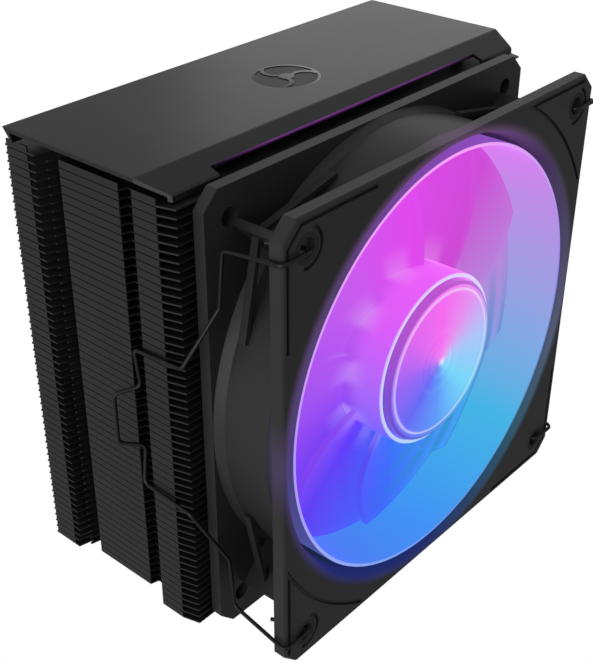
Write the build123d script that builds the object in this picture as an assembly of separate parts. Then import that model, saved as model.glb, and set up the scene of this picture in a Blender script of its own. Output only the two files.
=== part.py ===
from build123d import *
import math
import os

# Tower cooler for a desktop processor: a stack of thin fins on four heat pipes, a base,
# a sheet cover and one square fan held to the stack by two wire clips.
# Millimetres. The origin is the centre of the contact face under the base, +Z is up,
# and the fan blows along +Y, so the fan's intake face is the front of the cooler.

# --- fan: overall sizes ---
fan_size = 120.0          # square frame, side to side
fan_depth = 25.0          # along the air flow
fan_bottom = 32.0         # frame's lower edge over the contact face, clear of the screws
flange_depth = 3.5        # thickness of each square flange
flange_chamfer = 4.2      # cut across each corner
hole_inset = 7.5          # corner hole's centre from the edge
fan_hole_r = 2.3
edge_round = 0.4          # broken edge of the moulded frame

# --- fan: duct ---
tip_clearance = 1.1       # between the impeller's ring and the duct
duct_wall = 1.6
duct_flare = 1.0          # duct widens where it meets each flange
duct_flare_depth = 2.6
duct_lip = 1.7            # how much the duct's mouth widens in each face
hub_seat_over = 0.7       # motor's disc past the hub barrel
hub_seat_depth = 6.0
strut_count = 4
strut_width = 5.0
strut_depth = 3.6
cable_channel_width = 4.0
cable_channel_depth = 1.6
web_wall = 2.0            # web across each corner, from the duct to the corner hole
bar_wall = 1.2            # two thin bars from each web down to the duct
bar_front = 15.8
bar_depth = 2.0
bar_root = 49.0           # where a bar leaves its web, along each side
bar_foot_near = 24.0      # where it meets the duct, from the middle
bar_foot_rise = 0.38      # foot's centre line outside the duct

# --- fan: grooves in the front face and rubber corner bushes ---
groove_width = 1.0
groove_depth = 0.7
groove_inset = 1.6        # from the frame's edge to the groove's centre line
groove_reach = 30.0       # how near to the middle of each side the grooves run
panel_arc_out = 7.4       # groove round the duct, outside the grooves along the edges
bush_r = 3.6
bush_depth = 2.0
bush_groove_r = 4.5

# --- fan: impeller ---
ring_r = 56.2
ring_wall = 1.1
ring_setback = 0.6        # ring's front edge behind the frame's front face
ring_length = 17.4
hub_r = 22.9
hub_wall = 1.2
hub_front = 2.2           # hub barrel's front edge behind the front face
hub_length = 14.6
blade_count = 9
blade_front = 9.0
blade_length = 8.0
blade_root_sweep = 17.0   # how far a blade runs round the axis at the hub
blade_tip_sweep = 40.0
blade_camber = 2.2
blade_thickness = 1.3
blade_root_r = 17.0       # where the blade's surface starts, inside the hub
hub_rib_count = 8
hub_rib_wall = 1.0
cap_play = 0.4            # cap's rim inside the barrel
cap_front = 0.9           # cap's rim behind the front face
cap_rim = 1.55
cap_dish_inset = 2.8
cap_step = 0.35
cap_dome_r = 4.2
cap_dome_rise = 0.5

# --- fan: motor ---
yoke_rib = 3.2            # ribs between the barrel and the yoke
yoke_wall = 0.9
yoke_front = 4.0
yoke_length = 11.2
magnet_wall = 1.8
magnet_length = 9.0
air_gap = 0.6
shaft_r = 1.5
shaft_end = 21.6          # shaft's rear end, behind the front face
boss_r = 3.0
boss_length = 2.0
bearing_r = 3.8
bearing_length = 12.0
bearing_play = 0.03
tube_r = 4.8
tube_wall = 1.0
tube_front = 7.2
core_depth = 6.0
pole_count = 4
pole_width = 4.4
pole_shoe = 2.0
coil_turn = 1.7           # thickness of wire wound on each pole
board_thickness = 1.0
led_count = 10
led_size = 1.8
led_height = 0.7
led_inset = 1.5           # from the board's edge to the row of lamps
washer_wall = 0.6

# --- fins: overall sizes ---
stack_width = 131.0
stack_depth = 54.5
stack_bottom = 34.6       # lowest fin over the contact face
fin_count = 57
fin_pitch = 2.04
fin_thickness = 0.4
tab_gap = 0.22            # dark line between one folded tab and the next
corner_cut_x = 1.3        # front corners, across
corner_cut_y = 4.5        # front corners, along the side

# places along the side of a fin, measured back from its front edge
front_tab_start = 4.7
front_tab_end = 12.0
groove_end = 16.2
centre_tab_end = 35.4
recess_end = 44.1
rear_tab_start = 46.6
rear_tab_end = 54.0
clip_groove_depth = 2.2
side_recess_depth = 5.0
tooth_at = 39.6           # small tooth inside the side recess
tooth_base = 2.6
short_fin_count = 2       # lowest fins, cut back between their front and rear tabs
short_fin_cut = 9.0
short_fin_front = 14.0
short_fin_rear = 45.0

# --- heat pipes ---
pipe_r = 3.0
pipe_gap = 0.4            # between neighbours across the base
pipe_bend_r = 9.0
short_leg_x = 28.0        # front and rear pipes, from the middle to each leg
long_leg_x = 42.0         # the two pipes between them
pipe_axis_z = 6.5
pipe_tip_rise = 2.2       # above the top fin
pipe_fit = 0.02
tip_length = 1.6
tip_r = 1.2

# --- base ---
base_side_margin = 0.9    # from a screw's head to the side
base_end_margin = 0.1     # from a screw's head to the front or rear
base_height = 13.5
base_screw_r = 1.5
base_screw_x = 14.6
base_screw_gap = 1.3      # from the outer pipes to the screws
base_screw_head_r = 2.5
base_screw_head = 1.6
contact_inset = 2.0       # step round the polished contact face
contact_step = 0.8

# --- mounting bar and its captive spring screws ---
bar_width = 12.0
bar_thickness = 2.5
mount_spacing = 66.0
bar_end_r = 6.0
bar_screw_y = 9.0
bar_screw_r = 1.5
bar_screw_head_r = 2.75
bar_screw_head = 1.7
screw_shank_r = 2.0
screw_thread_r = 1.5
screw_tip_z = 4.0
screw_clearance = 0.35
screw_travel = 3.5
spring_wire_r = 0.35
spring_mean_r = 3.1
spring_turns = 5.0
cup_thickness = 1.0
cup_r = 4.3
cup_play = 0.06
moving_gap = 0.35         # between faces that move past each other
screw_head_r = 3.9
screw_head = 3.2
screw_slot = 1.2
ring_clip_r = 3.4
ring_clip_thickness = 0.7

# --- sheet cover ---
cover_side = 1.3          # past the fins at each side
cover_sheet = 1.0
cover_rise = 4.96         # over the top fin
cover_overhang_rear = -1.7
cover_fold = 7.6          # front slope, seen from above
cover_drop = 2.8          # how far the front slope falls
cover_front_y_gap = 2.0   # slope's lower edge behind the fins' front edge
cover_taper = 3.5         # slope narrows at each side
cover_lip = 1.5
cover_hem = 2.6
cover_hem_drop = 3.1
cover_slot_half = 49.3
cover_slot_rise = 3.0
cover_bend_r = 0.8
cover_tab_x = 54.0
cover_tab_y = 14.0
cover_tab_width = 6.0
cover_tab_below = 1.4
cover_tab_play = 0.15
emblem_r = 8.6
emblem_depth = 0.3
emblem_ring = 0.7

# --- wire clips ---
wire_r = 0.5
wire_gap = 0.3
wire_bend_r = 1.5
clip_tail = 5.3            # hook's reach behind the front flange
clip_tail_out = 4.4       # how far the hook's end leans outwards
clip_side_gap = 0.15
clip_flange_gap = 1.0     # from the rear flange's edge, where the fan is wider than the fins
clip_loop_out = 4.4
clip_loop_half = 6.9
clip_groove_half = 8.4
clip_run_half = 19.4
clip_kink_half = 35.0
clip_reach = 16.5

# ---------------------------------------------------------------- derived places
fan_rear = -stack_depth / 2
fan_front = fan_rear - fan_depth
duct_r = ring_r + tip_clearance
duct_outer_r = duct_r + duct_wall
duct_lip_r = duct_r + duct_lip
flange_half = fan_size / 2
fan_centre_z = fan_bottom + flange_half
hole_half = flange_half - hole_inset
panel_arc_r = flange_half - groove_inset + panel_arc_out
bar_foot_far = math.sqrt((duct_outer_r + bar_foot_rise) ** 2 - bar_foot_near**2)
hub_seat_r = hub_r + hub_seat_over
cap_r = hub_r - hub_wall - cap_play
cap_step_r = cap_r - cap_rim
cap_dish_r = cap_r - cap_dish_inset
yoke_r = hub_r - hub_wall - yoke_rib
stack_top = stack_bottom + (fin_count - 1) * fin_pitch + fin_thickness
fin_front = -stack_depth / 2
fin_rear = stack_depth / 2
fin_side = stack_width / 2
board_front = fan_depth - hub_seat_depth - board_thickness
board_r = hub_seat_r - 1.0
barrel_rear = hub_front + hub_length
spring_length = screw_travel + 2 * spring_wire_r * (spring_turns + 1) + 0.3
bar_z = base_height
bar_top = bar_z + bar_thickness
cup_z = bar_top + spring_length
head_z = cup_z + cup_thickness + moving_gap
pipe_pitch = 2 * pipe_r + pipe_gap
base_screw_y = 1.5 * pipe_pitch + pipe_r + base_screw_r + base_screw_gap
base_width = 2 * (base_screw_x + base_screw_head_r + base_side_margin)
base_depth = 2 * (base_screw_y + base_screw_head_r + base_end_margin)
cover_width = stack_width + 2 * cover_side
cover_top_z = stack_top + cover_rise
pipe_rows = [(i - 1.5) * pipe_pitch for i in range(4)]
pipe_legs = [short_leg_x, long_leg_x, long_leg_x, short_leg_x]

LOW = (Align.CENTER, Align.CENTER, Align.MIN)


def fan_plane(depth):
    """Plane across the fan's axis, depth behind its front face, seen from the front."""
    origin = (0, fan_front + depth, fan_centre_z)
    return Plane(origin=origin, x_dir=(1, 0, 0), z_dir=(0, -1, 0))


def fan_slab(sketch, start, end):
    """Extrude a sketch drawn in the fan's face from one depth to another."""
    return extrude(fan_plane(end) * sketch, amount=end - start)


def fan_disc(radius, start, end, x=0.0, z=0.0):
    return fan_slab(Pos(x, z) * Circle(radius), start, end)


def fan_tube(outer, inner, start, end):
    return fan_slab(Circle(outer) - Circle(inner), start, end)


def fan_cone(radius_start, radius_end, start, end):
    """Round frustum along the fan's axis."""
    cone = Cone(radius_end, radius_start, end - start, align=LOW)
    return fan_plane(end) * cone


def corners(half):
    return [(sx * half, sz * half) for sx in (-1, 1) for sz in (-1, 1)]


def around(count, first=0.0):
    return [first + 360.0 * i / count for i in range(count)]


# ---------------------------------------------------------------- fan frame
def flange_outline():
    square = Rectangle(fan_size, fan_size)
    return chamfer(square.vertices(), flange_chamfer)


def groove_along(path):
    """Narrow groove of round-ended section in the front face, along a path in the face."""
    line = trace(path, line_width=groove_width)
    return fan_slab(line, -0.5, groove_depth)


def edge_groove(turn):
    """Groove that follows both edges of a corner and the cut across it."""
    line = flange_half - groove_inset
    cut = flange_chamfer + groove_inset * (math.sqrt(2) - 1) - groove_inset + 1.0
    path = Polyline(
        (-groove_reach, line),
        (-line + cut, line),
        (-line, line - cut),
        (-line, groove_reach),
    )
    return groove_along(Rot(0, 0, turn) * path)


def panel_groove():
    """Path along the top edge, then round the duct to the side, for one corner's panel."""
    line = flange_half - groove_inset
    reach = math.sqrt(panel_arc_r**2 - line**2)
    middle = panel_arc_r / math.sqrt(2)
    edge = Line((line - flange_chamfer * 0.6, line), (reach, line))
    arc = ThreePointArc((reach, line), (middle, middle), (line, reach))
    return edge + arc


def bush_groove(x, z):
    arc = CenterArc((x, z), bush_groove_r, -105, 170)
    return groove_along(arc)


def corner_web(angle):
    """Web between the flanges, from the duct out to the edge of a corner hole."""
    outer = hole_half * math.sqrt(2) - fan_hole_r
    length = outer - duct_r - duct_wall / 2
    shape = Rot(0, 0, angle) * (Pos(outer - length / 2, 0) * Rectangle(length, web_wall))
    return fan_slab(shape, flange_depth - 0.1, fan_depth - flange_depth + 0.1)


def corner_bars(sx, sz):
    """Two thin bars behind the middle of the duct, from a corner web to the duct."""
    upright = Line((sx * bar_root, sz * bar_root), (sx * bar_foot_far, sz * bar_foot_near))
    level = Line((sx * bar_root, sz * bar_root), (sx * bar_foot_near, sz * bar_foot_far))
    shape = trace(upright, line_width=bar_wall) + trace(level, line_width=bar_wall)
    return fan_slab(shape, bar_front, bar_front + bar_depth)


def fan_frame():
    outline = flange_outline()
    front = fan_slab(outline, 0, flange_depth)
    front = chamfer(front.faces().sort_by(Axis.Y)[0].edges(), edge_round)
    rear = fan_slab(outline, fan_depth - flange_depth, fan_depth)
    rear = chamfer(rear.faces().sort_by(Axis.Y)[-1].edges(), edge_round)
    body = front + rear + fan_disc(duct_outer_r, 0.5, fan_depth - 0.5)
    wide_r = duct_outer_r + duct_flare
    narrow = flange_depth + duct_flare_depth
    body += fan_cone(wide_r, duct_outer_r, flange_depth, narrow)
    body += fan_cone(duct_outer_r, wide_r, fan_depth - narrow, fan_depth - flange_depth)
    for angle in around(4, 45.0):
        body += corner_web(angle)
    for sx, sz in corners(1):
        body += corner_bars(sx, sz)
    body -= fan_disc(duct_r, -1, fan_depth + 1)
    body -= fan_cone(duct_lip_r, duct_r, 0, flange_depth + 1.5)
    body -= fan_cone(duct_r, duct_lip_r, fan_depth - flange_depth - 1.5, fan_depth)
    for x, z in corners(hole_half):
        body -= fan_disc(fan_hole_r, -1, fan_depth + 1, x, z)
        body -= fan_disc(bush_r, -1, bush_depth, x, z)
        body -= fan_disc(bush_r, fan_depth - bush_depth, fan_depth + 1, x, z)
        if x < 0 or z > 0:
            body -= bush_groove(x, z)
    for turn in (0, 180):
        body -= edge_groove(turn)
    body -= groove_along(panel_groove())
    body -= groove_along(Rot(0, 0, 90) * mirror(panel_groove(), about=Plane.YZ))
    seat_front = fan_depth - hub_seat_depth
    body += fan_disc(hub_seat_r, seat_front, fan_depth)
    for angle in around(strut_count, 45.0):
        length = duct_r + 0.8 - hub_seat_r + 2.0
        place = hub_seat_r - 2.0 + length / 2
        strut = Rot(0, 0, angle) * (Pos(place, 0) * Rectangle(length, strut_width))
        body += fan_slab(strut, fan_depth - strut_depth, fan_depth)
    channel_length = duct_outer_r
    channel = Rot(0, 0, -45) * (
        Pos(hub_seat_r - 6 + channel_length / 2, 0) * Rectangle(channel_length, cable_channel_width)
    )
    body -= fan_slab(channel, fan_depth - cable_channel_depth, fan_depth + 1)
    body -= fan_disc(tube_r, seat_front - 1, fan_depth + 1)
    return body


def corner_bushes(start, end):
    """Rubber bushes sunk in the four corner seats of one flange."""
    ring = Circle(bush_r) - Circle(fan_hole_r)
    return [fan_slab(Pos(x, z) * ring, start, end) for x, z in corners(hole_half)]


# ---------------------------------------------------------------- impeller
def blade_section(radius, sweep, length):
    """Thin curved section of a blade, on a flat plane square to the blade."""
    origin = (radius, fan_front + blade_front + blade_length / 2, fan_centre_z)
    plane = Plane(origin=origin, x_dir=(0, 0, 1), z_dir=(1, 0, 0))
    half = sweep / 2
    tall = length / 2
    size = math.hypot(half, tall)
    nx = -tall / size
    ny = half / size
    start = (-half, -tall)
    end = (half, tall)
    low = (nx * blade_camber, ny * blade_camber)
    high = (nx * (blade_camber + blade_thickness), ny * (blade_camber + blade_thickness))
    edge = 0.25
    back = (end[0] + nx * edge, end[1] + ny * edge)
    front = (start[0] + nx * edge, start[1] + ny * edge)
    outline = [
        ThreePointArc(start, low, end),
        Line(end, back),
        ThreePointArc(back, high, front),
        Line(front, start),
    ]
    return plane * make_face(outline)


def blade():
    root = blade_section(blade_root_r, blade_root_sweep, blade_length)
    tip = blade_section(ring_r + 3.0, blade_tip_sweep, blade_length)
    solid = loft([root, tip], ruled=True)
    inside = ring_setback
    solid &= fan_disc(ring_r - ring_wall / 2, inside, inside + ring_length)
    return solid - fan_disc(hub_r - hub_wall / 2, inside - 1, inside + ring_length + 1)


def fan_turn(shape, angle):
    """Turn a shape about the fan's axis."""
    axis = Axis((0, 0, fan_centre_z), (0, 1, 0))
    return shape.rotate(axis, angle)


def impeller():
    """Ring, blades and hub barrel in one moulding, with ribs that grip the steel yoke."""
    body = fan_tube(ring_r, ring_r - ring_wall, ring_setback, ring_setback + ring_length)
    body += fan_tube(hub_r, hub_r - hub_wall, hub_front, barrel_rear)
    body += fan_tube(hub_r - hub_wall / 2, shaft_r + 2.5, hub_front + cap_step + 0.9, yoke_front)
    one = blade()
    for angle in around(blade_count):
        body += fan_turn(one, angle)
    for angle in around(hub_rib_count):
        length = hub_r - hub_wall / 2 - yoke_r
        rib = Pos(yoke_r + length / 2, 0) * Rectangle(length, hub_rib_wall)
        body += fan_slab(Rot(0, 0, angle) * rib, yoke_front - 0.1, yoke_front + yoke_length)
    return body


def hub_cap():
    """Clear cap in the hub's mouth: a stepped rim, a shallow dish and a centre bump."""
    rear = hub_front + cap_step + 0.9
    body = fan_disc(cap_r, cap_front, rear)
    dish = cap_front + cap_step
    body -= fan_tube(cap_step_r, cap_step_r - 0.45, cap_front - 1, dish)
    body -= fan_disc(cap_dish_r, cap_front - 1, dish)
    bump = fan_cone(cap_dome_r * 0.45, cap_dome_r, dish - cap_dome_rise, dish + 0.1)
    return body + bump


# ---------------------------------------------------------------- motor
def rotor_yoke():
    body = fan_disc(yoke_r, yoke_front, yoke_front + yoke_length)
    body -= fan_disc(yoke_r - yoke_wall, yoke_front + yoke_wall, yoke_front + yoke_length + 1)
    return body - fan_disc(boss_r, yoke_front - 1, yoke_front + yoke_wall + 1)


def magnet_ring():
    outer = yoke_r - yoke_wall
    start = yoke_front + yoke_wall + 0.6
    return fan_tube(outer, outer - magnet_wall, start, start + magnet_length)


def shaft_boss():
    return fan_tube(boss_r, shaft_r, yoke_front, yoke_front + boss_length)


def rotor_shaft():
    shaft = fan_disc(shaft_r, yoke_front, shaft_end)
    neck_start = tube_front + bearing_length + 0.5
    neck = fan_tube(shaft_r + 1, shaft_r - 0.35, neck_start, neck_start + washer_wall + 0.1)
    return shaft - neck


def shaft_washer():
    """Split washer in the shaft's neck, which keeps the rotor from pulling out."""
    start = tube_front + bearing_length + 0.55
    ring = Circle(bearing_r - 0.6) - Circle(shaft_r - 0.3)
    slot = Pos(bearing_r, 0) * Rectangle(bearing_r * 2, 0.8)
    return fan_slab(ring - slot, start, start + washer_wall)


def bearing_sleeve():
    return fan_tube(bearing_r, shaft_r + bearing_play, tube_front, tube_front + bearing_length)


def bearing_tube():
    tube = fan_tube(tube_r, tube_r - tube_wall, tube_front, fan_depth - 0.6)
    return tube + fan_disc(tube_r - tube_wall, fan_depth - 2.0, fan_depth - 0.6)


def core_span():
    start = yoke_front + yoke_wall + 0.6 + (magnet_length - core_depth) / 2
    return start, start + core_depth


def core_radius():
    return yoke_r - yoke_wall - magnet_wall - air_gap


def stator_core():
    """Stack of laminations: a ring on the bearing tube, four poles and their shoes."""
    outer = core_radius()
    shape = Circle(tube_r + 1.8)
    rim = Circle(outer) - Circle(outer - pole_shoe)
    for angle in around(pole_count):
        pole = Pos(outer / 2, 0) * Rectangle(outer, pole_width)
        shape += Rot(0, 0, angle) * pole
        gap = Pos(outer, 0) * Rectangle(outer, 2.2)
        rim -= Rot(0, 0, angle + 180.0 / pole_count) * gap
    shape = (shape & Circle(outer)) + rim - Circle(tube_r)
    start, end = core_span()
    return fan_slab(shape, start, end)


def stator_coils():
    """Enamelled wire wound round each pole, one solid block a pole."""
    start, end = core_span()
    inner = tube_r + 2.0
    half_width = pole_width / 2 + coil_turn
    outer = math.sqrt((core_radius() - pole_shoe) ** 2 - half_width**2) - 0.2
    wound = []
    for angle in around(pole_count):
        length = outer - inner
        place = Pos(inner + length / 2, 0)
        coil = Rot(0, 0, angle) * (place * Rectangle(length, 2 * half_width))
        pole = Rot(0, 0, angle) * (place * Rectangle(length + 2, pole_width + 0.04))
        block = fan_slab(coil, start - coil_turn, end + coil_turn)
        wound.append(block - fan_slab(pole, start - 0.02, end + 0.02))
    return wound


def motor_board():
    return fan_tube(board_r, tube_r, board_front, board_front + board_thickness)


def lamps():
    """Small lamps round the edge of the motor board, behind the impeller's hub."""
    place = board_r - led_inset
    square = Pos(place, 0) * Rectangle(led_size, led_size)
    start = board_front - led_height
    return [fan_slab(Rot(0, 0, a) * square, start, board_front) for a in around(led_count, 27.0)]


# ---------------------------------------------------------------- fins
def at_side(distance):
    """Y of a place on a fin's side, measured back from its front edge."""
    return fin_front + distance


def half_outline(clip_depth, recess_depth):
    """Right-hand half of a fin's outline, from the middle of its front to its rear."""
    side = fin_side
    floor = side - recess_depth
    return [
        (0, fin_front),
        (side - corner_cut_x, fin_front),
        (side, fin_front + corner_cut_y),
        (side, at_side(front_tab_end)),
        (side - clip_depth, at_side(front_tab_end + 0.6)),
        (side - clip_depth, at_side(groove_end - 0.6)),
        (side, at_side(groove_end)),
        (side, at_side(centre_tab_end)),
        (floor, at_side(centre_tab_end + 1.2)),
        (floor, at_side(tooth_at - tooth_base / 2)),
        (side, at_side(tooth_at - 0.2)),
        (side, at_side(tooth_at + 0.2)),
        (floor, at_side(tooth_at + tooth_base / 2)),
        (floor, at_side(recess_end - 1.2)),
        (side, at_side(recess_end)),
        (side, fin_rear),
        (0, fin_rear),
    ]


def short_outline():
    """Half outline of a lowest fin, cut back between its front and rear tabs."""
    side = fin_side
    floor = side - short_fin_cut
    return [
        (0, fin_front),
        (side - corner_cut_x, fin_front),
        (side, fin_front + corner_cut_y),
        (side, at_side(front_tab_end)),
        (side - clip_groove_depth, at_side(short_fin_front)),
        (floor, at_side(short_fin_front + 2)),
        (floor, at_side(short_fin_rear - 2)),
        (side, at_side(short_fin_rear)),
        (side, fin_rear),
        (0, fin_rear),
    ]


def mirrored_face(points):
    left = [(-x, y) for x, y in reversed(points)][1:-1]
    return make_face(Polyline(*points, *left, close=True))


def pipe_holes():
    holes = Sketch()
    for y, leg in zip(pipe_rows, pipe_legs):
        for x in (-leg, leg):
            holes += Pos(x, y) * Circle(pipe_r + pipe_fit)
    return holes


def fin(points, tabs):
    """Punched fin with tabs folded up flush with its sides, underside at Z = 0."""
    plate = extrude(mirrored_face(points) - pipe_holes(), amount=fin_thickness)
    height = fin_pitch - tab_gap
    for start, end in tabs:
        y = at_side((start + end) / 2)
        for side in (-1, 1):
            x = side * (fin_side - fin_thickness / 2)
            tab = Box(fin_thickness, end - start, height, align=LOW)
            plate += Pos(x, y, 0) * tab
    return plate


def fin_level(index):
    """Height of a fin's underside, counted from the lowest fin."""
    return stack_bottom + index * fin_pitch


def stack_of(shape, first, last):
    return [Pos(0, 0, fin_level(i)) * shape for i in range(first, last)]


front_tab = (front_tab_start, front_tab_end)
centre_tab = (groove_end, centre_tab_end)
rear_tab = (rear_tab_start, rear_tab_end)


def full_fin():
    outline = half_outline(clip_groove_depth, side_recess_depth)
    return fin(outline, [front_tab, centre_tab, rear_tab])


def top_fin():
    """Top fin, with slots for the cover's tabs."""
    body = Pos(0, 0, fin_level(fin_count - 1)) * full_fin()
    for x in (-cover_tab_x, cover_tab_x):
        for y in (-cover_tab_y, cover_tab_y):
            slot = Box(cover_tab_width + 2 * cover_tab_play, cover_sheet + 2 * cover_tab_play, 4)
            body -= Pos(x, y, fin_level(fin_count - 1)) * slot
    return body


# ---------------------------------------------------------------- heat pipes and base
def heat_pipe(y, leg):
    """One closed copper pipe: flat under the block, bent up each side, up to its tips."""
    top = stack_top + pipe_tip_rise - tip_length
    path = FilletPolyline(
        (-leg, y, top),
        (-leg, y, pipe_axis_z),
        (leg, y, pipe_axis_z),
        (leg, y, top),
        radius=pipe_bend_r,
    )
    section = Plane(origin=(-leg, y, top), z_dir=(0, 0, -1)) * Circle(pipe_r)
    body = sweep(section, path=path)
    for x in (-leg, leg):
        body += Pos(x, y, top) * Cone(pipe_r, tip_r, tip_length, align=LOW)
    return body


def pipe_channels():
    length = base_width + 4
    rod = Rot(0, 90, 0) * Cylinder(pipe_r + pipe_fit, length)
    return [Pos(0, y, pipe_axis_z) * rod for y in pipe_rows]


def base_screw_places():
    return [(sx * base_screw_x, sy * base_screw_y) for sx in (-1, 1) for sy in (-1, 1)]


def cold_plate():
    """Copper contact plate, channelled for the pipes, with a raised polished face."""
    body = Box(base_width, base_depth, pipe_axis_z - contact_step, align=LOW)
    body = Pos(0, 0, contact_step) * body
    face = Box(base_width - 2 * contact_inset, base_depth - 2 * contact_inset, contact_step, align=LOW)
    body += face
    for rod in pipe_channels():
        body -= rod
    for x, y in base_screw_places():
        body -= Pos(x, y, contact_step + 1.2) * Cylinder(base_screw_r, pipe_axis_z, align=LOW)
    return body


def base_block():
    """Aluminium block that clamps the pipes down, finned along its top edges."""
    body = Pos(0, 0, pipe_axis_z) * Box(base_width, base_depth, base_height - pipe_axis_z, align=LOW)
    body = chamfer(body.edges().filter_by(Axis.Z), 1.0)
    for rod in pipe_channels():
        body -= rod
    for x in (-13.5, -9.8, 9.8, 13.5):
        body -= Pos(x, 0, base_height - 2.0) * Box(1.6, base_depth - 12, 4.1, align=LOW)
    for x, y in base_screw_places():
        body -= Pos(x, y, 0) * Cylinder(base_screw_r + 0.1, base_height + 1, align=LOW)
        body -= Pos(x, y, base_height - base_screw_head) * Cylinder(base_screw_head_r + 0.15, 4, align=LOW)
    for y in (-bar_screw_y, bar_screw_y):
        body -= Pos(0, y, base_height - 3.2) * Cylinder(bar_screw_r, 5, align=LOW)
    return body


def cap_screw(radius, head_r, head, length, socket_r):
    """Socket screw, underside of its head at Z = 0."""
    body = Cylinder(head_r, head, align=LOW)
    body += Pos(0, 0, -length) * Cylinder(radius, length, align=LOW)
    socket = RegularPolygon(socket_r, 6)
    return body - extrude(Pos(0, 0, head * 0.4) * socket, amount=head)


def base_screws():
    seat = base_height - base_screw_head
    length = seat - contact_step - 1.6
    one = cap_screw(base_screw_r, base_screw_head_r, base_screw_head, length, 1.3)
    return [Pos(x, y, seat) * one for x, y in base_screw_places()]


# ---------------------------------------------------------------- mounting bar
def mount_places():
    return [-mount_spacing / 2, mount_spacing / 2]


def mount_bar():
    """Steel bar across the base, front to back, that carries the spring screws."""
    shape = Rectangle(bar_width, mount_spacing)
    for y in mount_places():
        shape += Pos(0, y) * Circle(bar_end_r)
        shape -= Pos(0, y) * Circle(screw_shank_r + screw_clearance)
    for y in (-bar_screw_y, bar_screw_y):
        shape -= Pos(0, y) * Circle(bar_screw_r + 0.1)
    body = extrude(Pos(0, 0, bar_z) * shape, amount=bar_thickness)
    rib = Pos(0, 0, bar_top - 0.05) * Box(2.0, bar_screw_y, 0.65, align=LOW)
    return body + rib


def bar_screws():
    one = cap_screw(bar_screw_r, bar_screw_head_r, bar_screw_head, bar_thickness + 2.8, 1.5)
    return [Pos(0, y, bar_top) * one for y in (-bar_screw_y, bar_screw_y)]


def mount_screw(y):
    """Captive screw: slotted head, shank through the spring, threaded end below the bar."""
    neck_z = bar_z - moving_gap - ring_clip_thickness
    body = Pos(0, 0, head_z) * Cylinder(screw_head_r, screw_head, align=LOW)
    body = chamfer(body.faces().sort_by(Axis.Z)[-1].edges(), 0.4)
    body += Pos(0, 0, neck_z - 1.0) * Cylinder(screw_shank_r, head_z - neck_z + 1.0, align=LOW)
    body += Pos(0, 0, screw_tip_z + 0.6) * Cylinder(screw_thread_r, neck_z - screw_tip_z, align=LOW)
    body += Pos(0, 0, screw_tip_z) * Cone(screw_thread_r - 0.5, screw_thread_r, 0.6, align=LOW)
    slot = Box(screw_head_r * 2 + 1, screw_slot, screw_slot * 2)
    body -= Pos(0, 0, head_z + screw_head) * slot
    cross = Box(screw_slot, screw_head_r * 1.3, screw_slot * 2)
    body -= Pos(0, 0, head_z + screw_head) * cross
    groove = Cylinder(screw_shank_r + 1, ring_clip_thickness, align=LOW)
    groove -= Cylinder(screw_shank_r - 0.4, ring_clip_thickness, align=LOW)
    body -= Pos(0, 0, neck_z) * groove
    return Pos(0, y, 0) * body


def retaining_clip(y):
    """Snap ring in the screw's groove under the bar."""
    neck_z = bar_z - moving_gap - ring_clip_thickness
    shape = Circle(ring_clip_r) - Circle(screw_shank_r - 0.4)
    shape -= Pos(ring_clip_r, 0) * Rectangle(ring_clip_r * 2, 1.8)
    return Pos(0, y, neck_z) * extrude(shape, amount=ring_clip_thickness)


def screw_cup(y):
    """Flanged cup between the spring and the screw's head."""
    hole = screw_shank_r + cup_play
    body = Cylinder(cup_r, cup_thickness, align=LOW)
    body += Pos(0, 0, -1.4) * Cylinder(hole + 0.45, 1.4, align=LOW)
    body -= Pos(0, 0, -2) * Cylinder(hole, cup_thickness + 3, align=LOW)
    return Pos(0, y, cup_z) * body


def mount_spring(y):
    """Compression spring between the bar and the cup, drawn as a round-wire helix."""
    free = spring_length - 2 * spring_wire_r - 0.1
    path = Helix(free / spring_turns, free, spring_mean_r)
    section = Plane(origin=path @ 0, z_dir=path % 0) * Circle(spring_wire_r)
    body = sweep(section, path=path, is_frenet=True)
    return Pos(0, y, bar_top + spring_wire_r + 0.05) * body


# ---------------------------------------------------------------- cover
def cover_profile():
    """Side view of the bent sheet, outer face, from the rear hem to the front lip."""
    rear = fin_rear + cover_overhang_rear
    front = fin_front + cover_front_y_gap
    top = cover_top_z
    return [
        (rear - cover_hem, top - cover_hem_drop),
        (rear, top),
        (front + cover_fold, top),
        (front, top - cover_drop),
        (front - 0.2, top - cover_drop - cover_lip),
    ]


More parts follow.
